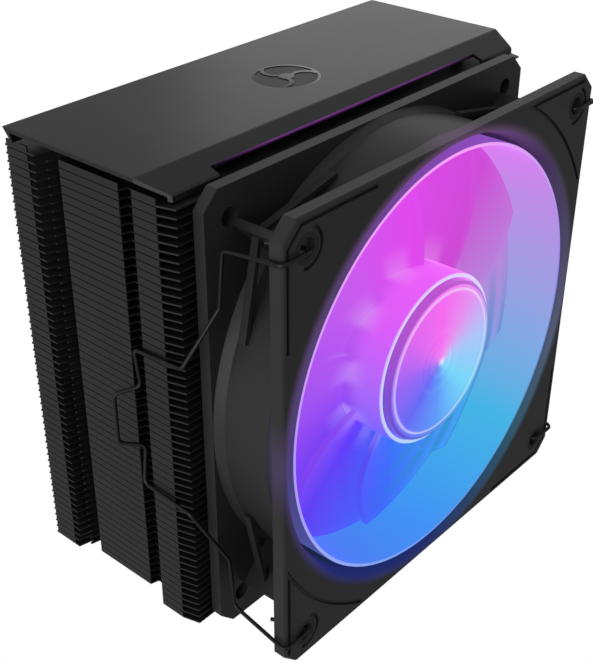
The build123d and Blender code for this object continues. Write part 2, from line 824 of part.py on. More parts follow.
def top_cover():
    """Bent sheet over the fins: flat top, front slope, and a hem along the rear edge."""
    points = cover_profile()
    rear, front = points[1][0], points[3][0]
    top = cover_top_z
    inner = [
        (points[4][0] + cover_sheet, points[4][1]),
        (front + cover_sheet, top - cover_drop - 0.45),
        (front + cover_fold + 0.2, top - cover_sheet),
        (rear - 2.3 * cover_sheet, top - cover_sheet),
        (rear - cover_hem - 0.55 * cover_sheet, top - cover_hem_drop - 0.75 * cover_sheet + 0.7),
    ]
    loop = Polyline(*points, *inner, close=True)
    section = Plane.YZ * make_face(loop)
    body = extrude(section, amount=cover_width / 2, both=True)
    sharp = [e for e in body.edges().filter_by(Axis.X) if e.center().Z > top - cover_drop - 0.1]
    outer = [e for e in sharp if e.center().Z > top - 0.01 and e.center().Y < rear - 1]
    body = fillet(outer, cover_bend_r * 3)
    low = [e for e in body.edges().filter_by(Axis.X) if abs(e.center().Y - front) < 0.01]
    body = fillet(low, cover_bend_r)
    for side in (-1, 1):
        edge = side * cover_width / 2
        corner = Polyline(
            (edge, front + cover_fold),
            (edge, front - 3),
            (edge - side * cover_taper * 1.4, front - 3),
            (edge - side * cover_taper, front),
            close=True,
        )
        body -= extrude(Pos(0, 0, top - 8) * make_face(corner), amount=10)
    slot = Box(2 * cover_slot_half, 2 * cover_slot_rise, 4)
    body -= Pos(0, front, top - cover_drop - 0.6) * slot
    rear_slot = Box(2 * cover_slot_half + 1.5, 2 * cover_hem, 2 * cover_sheet)
    body -= Pos(0, rear - cover_hem, top - cover_hem_drop - cover_sheet) * rear_slot
    for x in (-cover_tab_x, cover_tab_x):
        for y in (-cover_tab_y, cover_tab_y):
            drop = top - cover_sheet / 2 - stack_top + fin_thickness + cover_tab_below
            tab = Box(cover_tab_width, cover_sheet, drop, align=(Align.CENTER, Align.CENTER, Align.MAX))
            body += Pos(x, y, top - cover_sheet / 2) * tab
    return body - Pos(0, 0, top - emblem_depth) * Cylinder(emblem_r, 2, align=LOW)


def cover_emblem():
    """Plain round badge let into the cover: a rim and three curved vanes."""
    shape = Circle(emblem_r) - Circle(emblem_r - emblem_ring)
    vane_r = emblem_r - emblem_ring
    for angle in around(3, 90.0):
        vane = ThreePointArc((1.2, 0), (vane_r * 0.55, vane_r * 0.28), (vane_r + 0.2, 0))
        shape += Rot(0, 0, angle) * trace(vane, line_width=1.1)
    shape += Circle(2.0)
    shape = shape & Circle(emblem_r)
    base = Cylinder(emblem_r, emblem_depth * 0.5, align=LOW)
    raised = extrude(Pos(0, 0, emblem_depth * 0.4) * shape, amount=emblem_depth * 0.6)
    return Pos(0, 0, cover_top_z - emblem_depth) * (base + raised)


# ---------------------------------------------------------------- wire clips
def clip_points():
    """Upper half of the left clip, from its hook to its finger loop."""
    hole_x = -hole_half + fan_hole_r - wire_r - 0.3
    front = fan_front - wire_r - wire_gap
    edge_x = -flange_half - wire_r - wire_gap
    side_x = -max(fin_side + clip_side_gap, flange_half + clip_flange_gap) - wire_r
    hook_z = hole_half - 0.6
    groove_y = at_side((front_tab_end + groove_end) / 2) + 0.3
    loop_y = groove_y + clip_loop_out - 0.4
    groove_x = -fin_side + clip_groove_depth - wire_r - 1.15
    return [
        (hole_x - clip_tail_out, fan_front + flange_depth + clip_tail, hook_z),
        (hole_x, front, hook_z),
        (edge_x - 0.1, front, hook_z),
        (edge_x + 0.9, fan_front + clip_reach, hook_z - 2.6),
        (edge_x + 0.9, fan_front + clip_reach + 1.5, clip_kink_half),
        (side_x - 0.1, fan_rear - 1.0, clip_run_half + 0.8),
        (side_x, groove_y, clip_run_half - 0.4),
        (groove_x, groove_y, clip_groove_half),
        (groove_x - clip_loop_out - 0.5, loop_y, clip_loop_half),
    ]


def wire_clip(side):
    """Sprung wire that hooks in the front corner holes and snaps into the fins' groove."""
    upper = clip_points()
    lower = [(x, y, -z) for x, y, z in reversed(upper)]
    points = [(-side * x, y, z + fan_centre_z) for x, y, z in upper + lower]
    path = FilletPolyline(*points, radius=wire_bend_r)
    section = Plane(origin=path @ 0, z_dir=path % 0) * Circle(wire_r)
    return sweep(section, path=path, transition=Transition.RIGHT)


# ---------------------------------------------------------------- nodes
front_y, rear_y = mount_places()
nodes = {
    "top_cover": top_cover(),
    "cover_emblem": cover_emblem(),
    "top_fin": top_fin(),
    "fins": stack_of(full_fin(), short_fin_count, fin_count - 1),
    "lower_fins": stack_of(fin(short_outline(), [front_tab, rear_tab]), 0, short_fin_count),
    "cold_plate": cold_plate(),
    "base_block": base_block(),
    "base_screws": base_screws(),
    "mount_bar": mount_bar(),
    "bar_screws": bar_screws(),
    "front_mount_screw": mount_screw(front_y),
    "rear_mount_screw": mount_screw(rear_y),
    "front_retaining_clip": retaining_clip(front_y),
    "rear_retaining_clip": retaining_clip(rear_y),
    "front_screw_cup": screw_cup(front_y),
    "rear_screw_cup": screw_cup(rear_y),
    "front_screw_spring": mount_spring(front_y),
    "rear_screw_spring": mount_spring(rear_y),
    "fan_frame": fan_frame(),
    "front_corner_bushes": corner_bushes(0, bush_depth),
    "rear_corner_bushes": corner_bushes(fan_depth - bush_depth, fan_depth),
    "impeller": impeller(),
    "hub_cap": hub_cap(),
    "rotor_yoke": rotor_yoke(),
    "magnet_ring": magnet_ring(),
    "shaft_boss": shaft_boss(),
    "rotor_shaft": rotor_shaft(),
    "shaft_washer": shaft_washer(),
    "bearing_sleeve": bearing_sleeve(),
    "bearing_tube": bearing_tube(),
    "stator_core": stator_core(),
    "stator_coils": stator_coils(),
    "motor_board": motor_board(),
    "lamps": lamps(),
    "left_fan_clip": wire_clip(-1),
    "right_fan_clip": wire_clip(1),
}
for number, (row, leg) in enumerate(zip(pipe_rows, pipe_legs), start=1):
    nodes[f"heat_pipe_{number}"] = heat_pipe(row, leg)

os.makedirs("parts", exist_ok=True)
for name, shape in nodes.items():
    solid = Compound(children=list(shape)) if isinstance(shape, list) else shape
    export_step(solid, f"parts/{name}.step")
    print(name, round(solid.volume, 1))
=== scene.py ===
import bpy
import math
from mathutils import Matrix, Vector


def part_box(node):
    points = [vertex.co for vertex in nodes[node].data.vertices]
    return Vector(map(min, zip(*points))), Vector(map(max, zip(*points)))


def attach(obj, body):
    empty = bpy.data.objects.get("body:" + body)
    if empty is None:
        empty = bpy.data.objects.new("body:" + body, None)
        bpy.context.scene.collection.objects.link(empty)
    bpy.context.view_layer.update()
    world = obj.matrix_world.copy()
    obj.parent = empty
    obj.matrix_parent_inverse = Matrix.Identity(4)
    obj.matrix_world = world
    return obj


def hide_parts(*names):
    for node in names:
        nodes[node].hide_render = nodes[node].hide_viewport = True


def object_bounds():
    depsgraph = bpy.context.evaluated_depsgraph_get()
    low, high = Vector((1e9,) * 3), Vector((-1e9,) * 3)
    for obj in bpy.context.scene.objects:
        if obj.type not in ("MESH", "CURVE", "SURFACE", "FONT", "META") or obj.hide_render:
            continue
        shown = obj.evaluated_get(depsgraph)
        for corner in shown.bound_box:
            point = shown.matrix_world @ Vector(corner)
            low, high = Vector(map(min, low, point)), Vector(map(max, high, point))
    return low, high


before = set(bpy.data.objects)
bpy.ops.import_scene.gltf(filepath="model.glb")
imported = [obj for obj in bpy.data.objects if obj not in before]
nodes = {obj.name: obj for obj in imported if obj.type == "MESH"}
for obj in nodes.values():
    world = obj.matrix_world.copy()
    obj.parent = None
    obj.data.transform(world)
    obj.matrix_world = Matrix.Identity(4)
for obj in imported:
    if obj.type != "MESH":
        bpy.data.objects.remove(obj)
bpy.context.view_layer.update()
scene = bpy.context.scene
scene.view_settings.view_transform = "Standard"  # keeps the lit plastic's colours pure
mm = 0.001

frameLow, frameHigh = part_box("fan_frame")
fanAxis = Vector(((frameLow.x + frameHigh.x) / 2, frameLow.y, (frameLow.z + frameHigh.z) / 2))
print("frame loaded:", len(nodes), "nodes")


# helpers
def colour(hexValue):  # sRGB hex to linear
    channels = [int(hexValue[i:i + 2], 16) / 255 for i in (0, 2, 4)]
    linear = [c / 12.92 if c <= 0.04045 else ((c + 0.055) / 1.055) ** 2.4 for c in channels]
    return (*linear, 1.0)


def addNode(tree, kind, inputs=None, stops=None, **settings):
    node = tree.nodes.new("ShaderNode" + kind)
    for name, value in settings.items():
        setattr(node, name, value)
    for socket, value in (inputs or {}).items():
        if isinstance(value, bpy.types.NodeSocket):
            tree.links.new(value, node.inputs[socket])
        else:
            node.inputs[socket].default_value = value
    if stops:
        elements = node.color_ramp.elements
        while len(elements) < len(stops):
            elements.new(0.5)
        for element, (place, hexValue) in zip(elements, sorted(stops)):
            element.position = place
            element.color = colour(hexValue)
    return node


def newMaterial(name):
    material = bpy.data.materials.new(name)
    material.use_nodes = True
    tree = material.node_tree
    return material, tree, tree.nodes["Principled BSDF"]


def smooth(obj, angle=32):
    obj.data.polygons.foreach_set("use_smooth", [True] * len(obj.data.polygons))
    obj.data.set_sharp_from_angle(angle=math.radians(angle))


def dress(obj, *materials):
    obj.data.materials.clear()
    for material in materials:
        obj.data.materials.append(material)


def meshObject(name, points, faces, material):
    mesh = bpy.data.meshes.new(name)
    mesh.from_pydata(points, [], faces)
    mesh.validate()
    obj = bpy.data.objects.new(name, mesh)
    scene.collection.objects.link(obj)
    dress(obj, material)
    return obj


# a closed profile of (depth, radius) in millimetres, turned round the fan's axis
def turned(name, profile, material, steps=180):
    points = []
    for i in range(steps):
        angle = 2 * math.pi * i / steps
        for depth, radius in profile:
            offset = Vector((radius * math.cos(angle), depth, radius * math.sin(angle))) * mm
            points.append(fanAxis + offset)
    count = len(profile)
    faces = []
    for i in range(steps):
        for j in range(count):
            a = i * count + j
            b = i * count + (j + 1) % count
            c = (i + 1) % steps * count + (j + 1) % count
            d = (i + 1) % steps * count + j
            faces.append((a, b, c, d))
    obj = meshObject(name, points, faces, material)
    smooth(obj)
    return obj


# plain finishes
# tones: two near colours; grain: size in mm; stretch: below 1 draws the grain out along that axis
finishes = {
    # bead-blasted anodised aluminium: satin, even grey with a fine grain
    "anodisedSheet": dict(tones=("38383a", "3e3e40"), metallic=0.8, roughness=0.30,
                          grain=0.5, bump=0.03, stretch=(1, 1, 1)),
    # electro-coated aluminium fins: dark, slightly glossy sheet with rolling marks
    "coatedFins": dict(tones=("1c1c1d", "232324"), metallic=0.2, roughness=0.42,
                       grain=1.2, bump=0.06, stretch=(1, 1, 1)),
    # black nickel on copper pipe: dark mirror with soft drawing lines along it
    "nickelPipe": dict(tones=("3a3a3c", "48484a"), metallic=1.0, roughness=0.24,
                       grain=0.6, bump=0.04, stretch=(1, 1, 0.1)),
    # lapped copper: warm, with fine straight lapping lines
    "lappedCopper": dict(tones=("b8754f", "c98a62"), metallic=1.0, roughness=0.22,
                         grain=0.25, bump=0.05, stretch=(0.04, 1, 1)),
    # milled aluminium block: pale grey with cutter lines across it
    "milledBlock": dict(tones=("6e6f72", "7c7d80"), metallic=1.0, roughness=0.34,
                        grain=0.4, bump=0.08, stretch=(1, 0.05, 1)),
    # zinc plated steel: cool grey with a faint cloudy bloom
    "zincSteel": dict(tones=("a4a7aa", "b9bcbf"), metallic=1.0, roughness=0.32,
                      grain=1.5, bump=0.04, stretch=(1, 1, 1)),
    # drawn spring wire: bright grey, polished along its length
    "springWire": dict(tones=("8d8f92", "a0a2a5"), metallic=1.0, roughness=0.26,
                       grain=0.2, bump=0.03, stretch=(1, 1, 1)),
    # black oxide spring wire: near black with a soft highlight
    "oxideWire": dict(tones=("0d0d0e", "151516"), metallic=0.3, roughness=0.34,
                      grain=0.3, bump=0.04, stretch=(1, 1, 1)),
    # moulded rubber: dull black, a little dusty
    "mouldedRubber": dict(tones=("141414", "1c1c1c"), metallic=0.0, roughness=0.75,
                          grain=0.4, bump=0.10, stretch=(1, 1, 1)),
    # pressed steel cup: mid grey with draw marks along the axis
    "pressedSteel": dict(tones=("6d6e70", "7b7c7e"), metallic=1.0, roughness=0.36,
                         grain=0.5, bump=0.05, stretch=(1, 0.1, 1)),
    # bonded ferrite: matt charcoal with a coarse speckle
    "bondedFerrite": dict(tones=("262627", "333334"), metallic=0.0, roughness=0.7,
                          grain=0.4, bump=0.12, stretch=(1, 1, 1)),
    # turned brass: warm yellow with fine tool rings
    "turnedBrass": dict(tones=("b79a5a", "c6aa68"), metallic=1.0, roughness=0.25,
                        grain=0.15, bump=0.04, stretch=(1, 0.1, 1)),
    # ground steel shaft: bright and nearly mirror smooth
    "groundShaft": dict(tones=("b4b6b9", "c2c4c7"), metallic=1.0, roughness=0.14,
                        grain=0.1, bump=0.02, stretch=(1, 0.1, 1)),
    # sintered bronze: brown gold with tiny pores
    "sinteredBronze": dict(tones=("7c6238", "917446"), metallic=1.0, roughness=0.45,
                           grain=0.15, bump=0.15, stretch=(1, 1, 1)),
    # moulded nylon: milky off-white, waxy
    "mouldedNylon": dict(tones=("cfccc0", "dad7cc"), metallic=0.0, roughness=0.5,
                         grain=0.6, bump=0.04, stretch=(1, 1, 1)),
    # stamped laminations: grey layers with dark lines between sheets
    "stackedSteel": dict(tones=("3c3d3f", "626366"), metallic=1.0, roughness=0.42,
                         grain=0.35, bump=0.10, stretch=(0.05, 1, 0.05)),
    # enamelled copper wire: red brown, glossy strands
    "enamelWire": dict(tones=("7a2f14", "9a4420"), metallic=0.6, roughness=0.3,
                       grain=0.3, bump=0.2, stretch=(1, 0.1, 1)),
    # solder-masked laminate: dark green, fine weave showing through
    "maskedBoard": dict(tones=("0e2c1b", "143823"), metallic=0.0, roughness=0.35,
                        grain=0.3, bump=0.08, stretch=(1, 1, 1)),
}


def makeFinish(name, look):
    material, tree, shader = newMaterial(name)
    place = addNode(tree, "TexCoord")
    spread = addNode(tree, "Mapping", {0: place.outputs["Object"], "Scale": look["stretch"]})
    noise = addNode(tree, "TexNoise", {"Vector": spread.outputs[0],
                                       "Scale": 1 / (look["grain"] * mm), "Detail": 4.0})
    cloud = addNode(tree, "TexNoise", {"Vector": place.outputs["Object"], "Scale": 40.0})
    both = addNode(tree, "Math", {0: noise.outputs["Fac"], 1: cloud.outputs["Fac"]},
                   operation="MULTIPLY")
    tones = addNode(tree, "ValToRGB", {"Fac": both.outputs[0]},
                    stops=[(0.12, look["tones"][0]), (0.42, look["tones"][1])])
    rough = addNode(tree, "MapRange", {"Value": noise.outputs["Fac"],
                                       "To Min": look["roughness"] - 0.05,
                                       "To Max": look["roughness"] + 0.07})
    bump = addNode(tree, "Bump", {"Height": noise.outputs["Fac"], "Strength": look["bump"],
                                  "Distance": look["grain"] * mm})
    tree.links.new(tones.outputs["Color"], shader.inputs["Base Color"])
    tree.links.new(rough.outputs["Result"], shader.inputs["Roughness"])
    tree.links.new(bump.outputs["Normal"], shader.inputs["Normal"])
    shader.inputs["Metallic"].default_value = look["metallic"]
    return material


finish = {name: makeFinish(name, look) for name, look in finishes.items()}


# finishes that change with the place round the fan's axis
def polar(tree):  # sockets: angle in radians, radius and depth in millimetres
    place = addNode(tree, "TexCoord")
    local = addNode(tree, "VectorMath", {0: place.outputs["Object"], 1: fanAxis},
                    operation="SUBTRACT")
    sized = addNode(tree, "VectorMath", {0: local.outputs[0], "Scale": 1 / mm}, operation="SCALE")
    axes = addNode(tree, "SeparateXYZ", {0: sized.outputs[0]})
    angle = addNode(tree, "Math", {0: axes.outputs["Z"], 1: axes.outputs["X"]},
                    operation="ARCTAN2")
    flat = addNode(tree, "CombineXYZ", {"X": axes.outputs["X"], "Y": axes.outputs["Z"]})
    radius = addNode(tree, "VectorMath", {0: flat.outputs[0]}, operation="LENGTH")
    return dict(angle=angle.outputs[0], radius=radius.outputs["Value"], depth=axes.outputs["Y"])


# the lamps' colours round the axis: left, lower left, bottom, lower right, right, upper right,
# top, upper left
def wheel(tree, angle, hexValues):
    turn = addNode(tree, "MapRange", {"Value": angle, "From Min": -math.pi, "From Max": math.pi})
    stops = [(i / 8, hexValue) for i, hexValue in enumerate(hexValues + hexValues[:1])]
    return addNode(tree, "ValToRGB", {"Fac": turn.outputs["Result"]}, stops=stops).outputs["Color"]


glow = {
    "blades": ["a050f0", "6038f0", "3c64f4", "44a4e8", "b088d8", "cc48d4", "e048ee", "c45cec"],
    "ringInside": ["8060e0", "5070e8", "4090f4", "44b4e4", "a09ce0", "cc80e8", "d868e8", "b864e8"],
    "ringOutside": ["4c4078", "4a58a8", "4080d8", "44a0d0", "8878c0", "8858b8", "8848b8", "54406c"],
    "rim": ["b098f4", "90a8f8", "6c98ec", "5098c8", "8c88e0", "c89cf0", "f8a0f8", "e4a0f4"],
    "barrel": ["a868f8", "6860f8", "5c78f4", "58acec", "b494f0", "e47cf4", "ec60f8", "dc5cf8"],
    "face": ["9464f4", "6468f4", "5c98f8", "74d4f8", "a8c4f8", "e490f0", "f468f0", "e068f0"],
}


def litPlastic(name, hexValues):
    material, tree, shader = newMaterial(name)
    place = polar(tree)
    shader.inputs["Roughness"].default_value = 0.25
    shader.inputs["IOR"].default_value = 1.49
    shader.inputs["Specular IOR Level"].default_value = 0.1
    shader.inputs["Emission Strength"].default_value = 1.0
    shader.inputs["Base Color"].default_value = colour("050308")
    hue = wheel(tree, place["angle"], hexValues)
    tree.links.new(hue, shader.inputs["Emission Color"])
    return material, tree, shader, place, hue


# painted light: a soft pale spot for each lamp on the motor board, strongest between two distances
def lampSpots(tree, angle, distance, near, far, strength):
    wave = addNode(tree, "Math", {0: angle, 1: 10.0, 2: math.radians(-270)},
                   operation="MULTIPLY_ADD")
    crest = addNode(tree, "Math", {0: wave.outputs[0]}, operation="COSINE")
    spot = addNode(tree, "MapRange", {"Value": crest.outputs[0], "From Min": -0.4},
                   interpolation_type="SMOOTHSTEP")
    reach = addNode(tree, "MapRange", {"Value": distance, "From Min": near, "From Max": far,
                                       "To Max": strength}, interpolation_type="SMOOTHSTEP")
    return addNode(tree, "Math", {0: spot.outputs["Result"], 1: reach.outputs["Result"]},
                   operation="MULTIPLY").outputs[0]


rippleSpacing = 7.5  # mm between the darker ripples of painted shade on the blades


def litBlades():  # lit acrylic, with painted shade as soft darker ripples at the lower right where blades overlap, and painted light as a pale spot from each lamp
    material, tree, shader, place, hue = litPlastic("litBladeAcrylic", glow["blades"])
    # painted shade: darker teal ripples in the lower right sector stand in for the overlapping blades
    spiral = addNode(tree, "Math", {0: place["angle"], 1: 1.4}, operation="MULTIPLY")
    wave = addNode(tree, "Math", {0: place["radius"], 1: 2 * math.pi / rippleSpacing, 2: spiral.outputs[0]},
                   operation="MULTIPLY_ADD")
    ripple = addNode(tree, "Math", {0: wave.outputs[0]}, operation="SINE")
    side = addNode(tree, "MapRange", {"Value": place["angle"], "From Min": -1.9, "From Max": -0.9},
                   interpolation_type="SMOOTHSTEP")
    other = addNode(tree, "MapRange", {"Value": place["angle"], "From Min": 0.3, "From Max": -0.5},
                    interpolation_type="SMOOTHSTEP")
    sector = addNode(tree, "Math", {0: side.outputs["Result"], 1: other.outputs["Result"]},
                     operation="MULTIPLY")
    share = addNode(tree, "MapRange", {"Value": ripple.outputs[0], "From Min": -1.0,
                                       "To Max": 0.6}, interpolation_type="SMOOTHSTEP")
    amount = addNode(tree, "Math", {0: share.outputs["Result"], 1: sector.outputs[0]},
                     operation="MULTIPLY")
    darker = addNode(tree, "Mix", {0: amount.outputs[0], 6: hue, 7: colour("2484b4")}, data_type="RGBA")
    # painted light: a pale spot from each lamp near the blades' roots
    spots = lampSpots(tree, place["angle"], place["radius"], 31.0, 23.0, 0.12)
    final = addNode(tree, "Mix", {0: spots, 6: darker.outputs[2], 7: colour("ffe8ff")}, data_type="RGBA")
    tree.links.new(final.outputs[2], shader.inputs["Emission Color"])
    return material


def litBarrel():  # lit acrylic that fades into the blades at its rear, with a painted light spot from each lamp and a fine bright front edge
    material, tree, shader, place, hue = litPlastic("litBarrelAcrylic", glow["barrel"])
    fade = addNode(tree, "MapRange", {"Value": place["depth"], "From Min": 8.0, "From Max": 14.0},
                   interpolation_type="SMOOTHSTEP")
    bladeHue = wheel(tree, place["angle"], glow["blades"])
    faded = addNode(tree, "Mix", {0: fade.outputs["Result"], 6: hue, 7: bladeHue}, data_type="RGBA")
    # painted light: a pale spot from each lamp on the barrel
    spots = lampSpots(tree, place["angle"], place["depth"], 6.0, 15.0, 0.22)
    lighter = addNode(tree, "Mix", {0: spots, 6: faded.outputs[2], 7: colour("ffe8ff")}, data_type="RGBA")
    edge = addNode(tree, "MapRange", {"Value": place["depth"], "From Min": 2.75, "From Max": 2.35,
                                      "To Max": 0.65})
    final = addNode(tree, "Mix", {0: edge.outputs["Result"], 6: lighter.outputs[2],
                                  7: colour("d8f4ff")}, data_type="RGBA")
    tree.links.new(final.outputs[2], shader.inputs["Emission Color"])
    return material


faceScale = 25.0  # radius in mm at which the ring pattern ends
# how far the hub's face goes to white at each radius in millimetres, as grey hex
faceRings = [(0.0, "e8e8e8"), (0.9, "b0b0b0"), (1.6, "505050"), (4.0, "484848"), (4.6, "202020"),
             (7.4, "141414"), (8.2, "303030"), (9.2, "0c0c0c"), (13.6, "040404"),
             (14.2, "101010"), (15.0, "000000"), (18.4, "000000"), (18.8, "404040"),
             (19.3, "c8c8c8"), (19.8, "303030"), (20.2, "000000")]


def litFace():  # lit acrylic with lighter rings on its steps and painted shade as a darker gap in the groove at its rim
    material, tree, shader, place, hue = litPlastic("litFaceAcrylic", glow["face"])
    reach = addNode(tree, "Math", {0: place["radius"], 1: faceScale}, operation="DIVIDE")
    rings = addNode(tree, "ValToRGB", {"Fac": reach.outputs[0]},
                    stops=[(at / faceScale, value) for at, value in faceRings])
    lighter = addNode(tree, "Mix", {0: rings.outputs["Color"], 6: hue, 7: colour("f0f0ff")},
                      data_type="RGBA")
    # painted shade: the groove at the rim is darkened towards deep purple
    gap = addNode(tree, "MapRange", {"Value": place["radius"], "From Min": 20.2, "From Max": 20.7,
                                     "To Max": 0.5})
    final = addNode(tree, "Mix", {0: gap.outputs["Result"], 6: lighter.outputs[2],
                                  7: colour("6030a0")}, data_type="RGBA")
    tree.links.new(final.outputs[2], shader.inputs["Emission Color"])
    return material


# clear acrylic lit from behind: glows by itself, with a thin gloss over it
lit = {name: litPlastic("lit" + name.title() + "Acrylic", glow[name])[0]
       for name in ("ringInside", "ringOutside", "rim")}
lit.update(blades=litBlades(), barrel=litBarrel(), face=litFace())


def mouldedFrame():  # glass-filled PBT, spark-eroded mould: fine matt grain, light on its edges
    material, tree, shader = newMaterial("mouldedFramePbt")
    place = addNode(tree, "TexCoord")
    grain = addNode(tree, "TexNoise", {"Vector": place.outputs["Object"], "Scale": 1 / (0.35 * mm),
                                       "Detail": 3.0})
    cloud = addNode(tree, "TexNoise", {"Vector": place.outputs["Object"], "Scale": 25.0})
    tones = addNode(tree, "ValToRGB", {"Fac": cloud.outputs["Fac"]},
                    stops=[(0.3, "262627"), (0.7, "2d2d2e")])
    bump = addNode(tree, "Bump", {"Height": grain.outputs["Fac"], "Strength": 0.1,
                                  "Distance": 0.05 * mm})
    tree.links.new(tones.outputs["Color"], shader.inputs["Base Color"])
    tree.links.new(bump.outputs["Normal"], shader.inputs["Normal"])
    shader.inputs["Roughness"].default_value = 0.45
    shader.inputs["Specular IOR Level"].default_value = 0.35
    around = polar(tree)  # light that leaks on to the face round the duct's mouth
    hue = wheel(tree, around["angle"], ["503878", "141468", "10206c", "1c5870", "504c70", "3c2850",
                              "704878", "58386c"])
    fade = addNode(tree, "MapRange", {"Value": around["radius"], "From Min": 58.2, "From Max": 61.5,
                                      "To Min": 0.75, "To Max": 0.0},
                   interpolation_type="SMOOTHSTEP")
    front = addNode(tree, "MapRange", {"Value": around["depth"], "From Min": 3.0, "From Max": 6.0,
                                       "To Min": 1.0, "To Max": 0.0})
    leak = addNode(tree, "Math", {0: fade.outputs["Result"], 1: front.outputs["Result"]},
                   operation="MULTIPLY")
    tree.links.new(hue, shader.inputs["Emission Color"])
    tree.links.new(leak.outputs[0], shader.inputs["Emission Strength"])
    return material


def pressedFoil():  # stamped foil badge: dark ground, and raised lines with a soft metal sheen painted in, dark at the left and bright at the right
    material, tree, shader = newMaterial("stampedFoil")
    place = addNode(tree, "TexCoord")
    axes = addNode(tree, "SeparateXYZ", {0: place.outputs["Object"]})
    # painted sheen: the raised lines' colour runs from dark at the left of the badge to bright at its right
    across = addNode(tree, "MapRange", {"Value": axes.outputs["X"], "From Min": -8 * mm,
                                        "From Max": 8 * mm})
    tones = addNode(tree, "ValToRGB", {"Fac": across.outputs["Result"]},
                    stops=[(0.0, "1c1c1e"), (1.0, "9c9ca0")])
    badgeLow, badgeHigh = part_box("cover_emblem")
    raised = addNode(tree, "MapRange", {"Value": axes.outputs["Z"],
                                        "From Min": badgeHigh.z - 0.10 * mm,
                                        "From Max": badgeHigh.z - 0.02 * mm})
    stamped = addNode(tree, "Mix", {0: raised.outputs["Result"], 6: colour("2c2c2e"),
                                    7: tones.outputs["Color"]}, data_type="RGBA")
    tree.links.new(stamped.outputs[2], shader.inputs["Base Color"])
    shader.inputs["Metallic"].default_value = 1.0
    shader.inputs["Roughness"].default_value = 0.4
    return material


# the cut upper edge of the cover's front notch, in millimetres
notch = dict(edgeY=-22.25, bandLow=151.9, bandHigh=152.3, halfLength=49.0, brightHalf=30.0)


def glintCover(material):  # fan light caught on the cut edge of the cover's front notch
    tree = material.node_tree
    shader = tree.nodes["Principled BSDF"]
    place = addNode(tree, "TexCoord")
    axes = addNode(tree, "SeparateXYZ", {0: place.outputs["Object"]})
    off = addNode(tree, "Math", {0: axes.outputs["Y"], 1: notch["edgeY"] * mm}, operation="SUBTRACT")
    near = addNode(tree, "Math", {0: off.outputs[0]}, operation="ABSOLUTE")
    edge = addNode(tree, "MapRange", {"Value": near.outputs[0], "From Min": 0.15 * mm,
                                      "From Max": 0.05 * mm, "To Max": 0.5})
    across = addNode(tree, "Math", {0: axes.outputs["X"]}, operation="ABSOLUTE")
    within = addNode(tree, "MapRange", {"Value": across.outputs[0], "From Min": notch["halfLength"] * mm,
                                        "From Max": notch["brightHalf"] * mm})
    top = addNode(tree, "MapRange", {"Value": axes.outputs["Z"], "From Min": notch["bandLow"] * mm,
                                     "From Max": notch["bandHigh"] * mm})
    upper = addNode(tree, "Math", {0: edge.outputs["Result"], 1: top.outputs["Result"]},
                    operation="MULTIPLY")
    amount = addNode(tree, "Math", {0: upper.outputs[0], 1: within.outputs["Result"]},
                     operation="MULTIPLY")
    shader.inputs["Emission Color"].default_value = colour("8a3c9c")
    tree.links.new(amount.outputs[0], shader.inputs["Emission Strength"])


glintCover(finish["anodisedSheet"])
framePlastic = mouldedFrame()
lampLens, _, lampShader = newMaterial("epoxyLampLens")  # cast epoxy lens, lit white-pink
lampShader.inputs["Emission Color"].default_value = colour("ffd8ff")
lampShader.inputs["Emission Strength"].default_value = 3.0
print("materials made")

# CAD pieces shown as they are
nodeFinish = {
    "top_cover": finish["anodisedSheet"], "top_fin": finish["coatedFins"],
    "fins": finish["coatedFins"], "lower_fins": finish["coatedFins"],
    "cold_plate": finish["lappedCopper"], "base_block": finish["milledBlock"],
    "base_screws": finish["zincSteel"], "mount_bar": finish["zincSteel"],
    "bar_screws": finish["zincSteel"], "cover_emblem": pressedFoil(),
    "front_mount_screw": finish["zincSteel"], "rear_mount_screw": finish["zincSteel"],
    "front_retaining_clip": finish["springWire"], "rear_retaining_clip": finish["springWire"],
    "front_screw_cup": finish["zincSteel"], "rear_screw_cup": finish["zincSteel"],
    "front_screw_spring": finish["springWire"], "rear_screw_spring": finish["springWire"],
    "fan_frame": framePlastic, "front_corner_bushes": finish["mouldedRubber"],
    "rear_corner_bushes": finish["mouldedRubber"],
    "rotor_yoke": finish["pressedSteel"], "magnet_ring": finish["bondedFerrite"],
    "shaft_boss": finish["turnedBrass"], "rotor_shaft": finish["groundShaft"],
    "shaft_washer": finish["mouldedNylon"], "bearing_sleeve": finish["sinteredBronze"],
    "bearing_tube": finish["mouldedNylon"], "stator_core": finish["stackedSteel"],
    "stator_coils": finish["enamelWire"], "motor_board": finish["maskedBoard"],
    "lamps": lampLens, "left_fan_clip": finish["oxideWire"], "right_fan_clip": finish["oxideWire"],
    "impeller": lit["blades"], "hub_cap": lit["face"],
}
for number in range(1, 5):
    nodeFinish[f"heat_pipe_{number}"] = finish["nickelPipe"]
for name, material in nodeFinish.items():
    dress(nodes[name], material)
    smooth(nodes[name])
# broken edges catch a fine line of light: width in millimetres
for name, width in (("top_cover", 0.12), ("fan_frame", 0.25)):
    bevel = nodes[name].modifiers.new("brokenEdges", "BEVEL")
    bevel.width = width * mm
    bevel.segments = 2
    bevel.limit_method = "ANGLE"
    bevel.angle_limit = math.radians(50)
print("CAD pieces dressed")

# impeller
impeller = dict(
    ringRadius=56.2, ringWall=1.1, ringFront=0.6, ringRear=18.0, rimDepth=0.3,
    hubRadius=22.9, hubWall=1.2, hubFront=2.2, hubRear=16.8,
    blades=9, bladeSpan=62.0, bladeLean=20.0, bladeWall=1.0,
    rootDepths=(10.8, 16.2), tipDepths=(15.2, 17.4),
)


def roundedRing(outer, inner, front, rear, nose):  # section of a ring with a rounded front edge
    middle = (outer + inner) / 2
    return [(rear, inner), (front + nose, inner), (front + nose * 0.3, inner + nose * 0.3),
            (front, middle), (front + nose * 0.3, outer - nose * 0.3), (front + nose, outer),
            (rear, outer)]


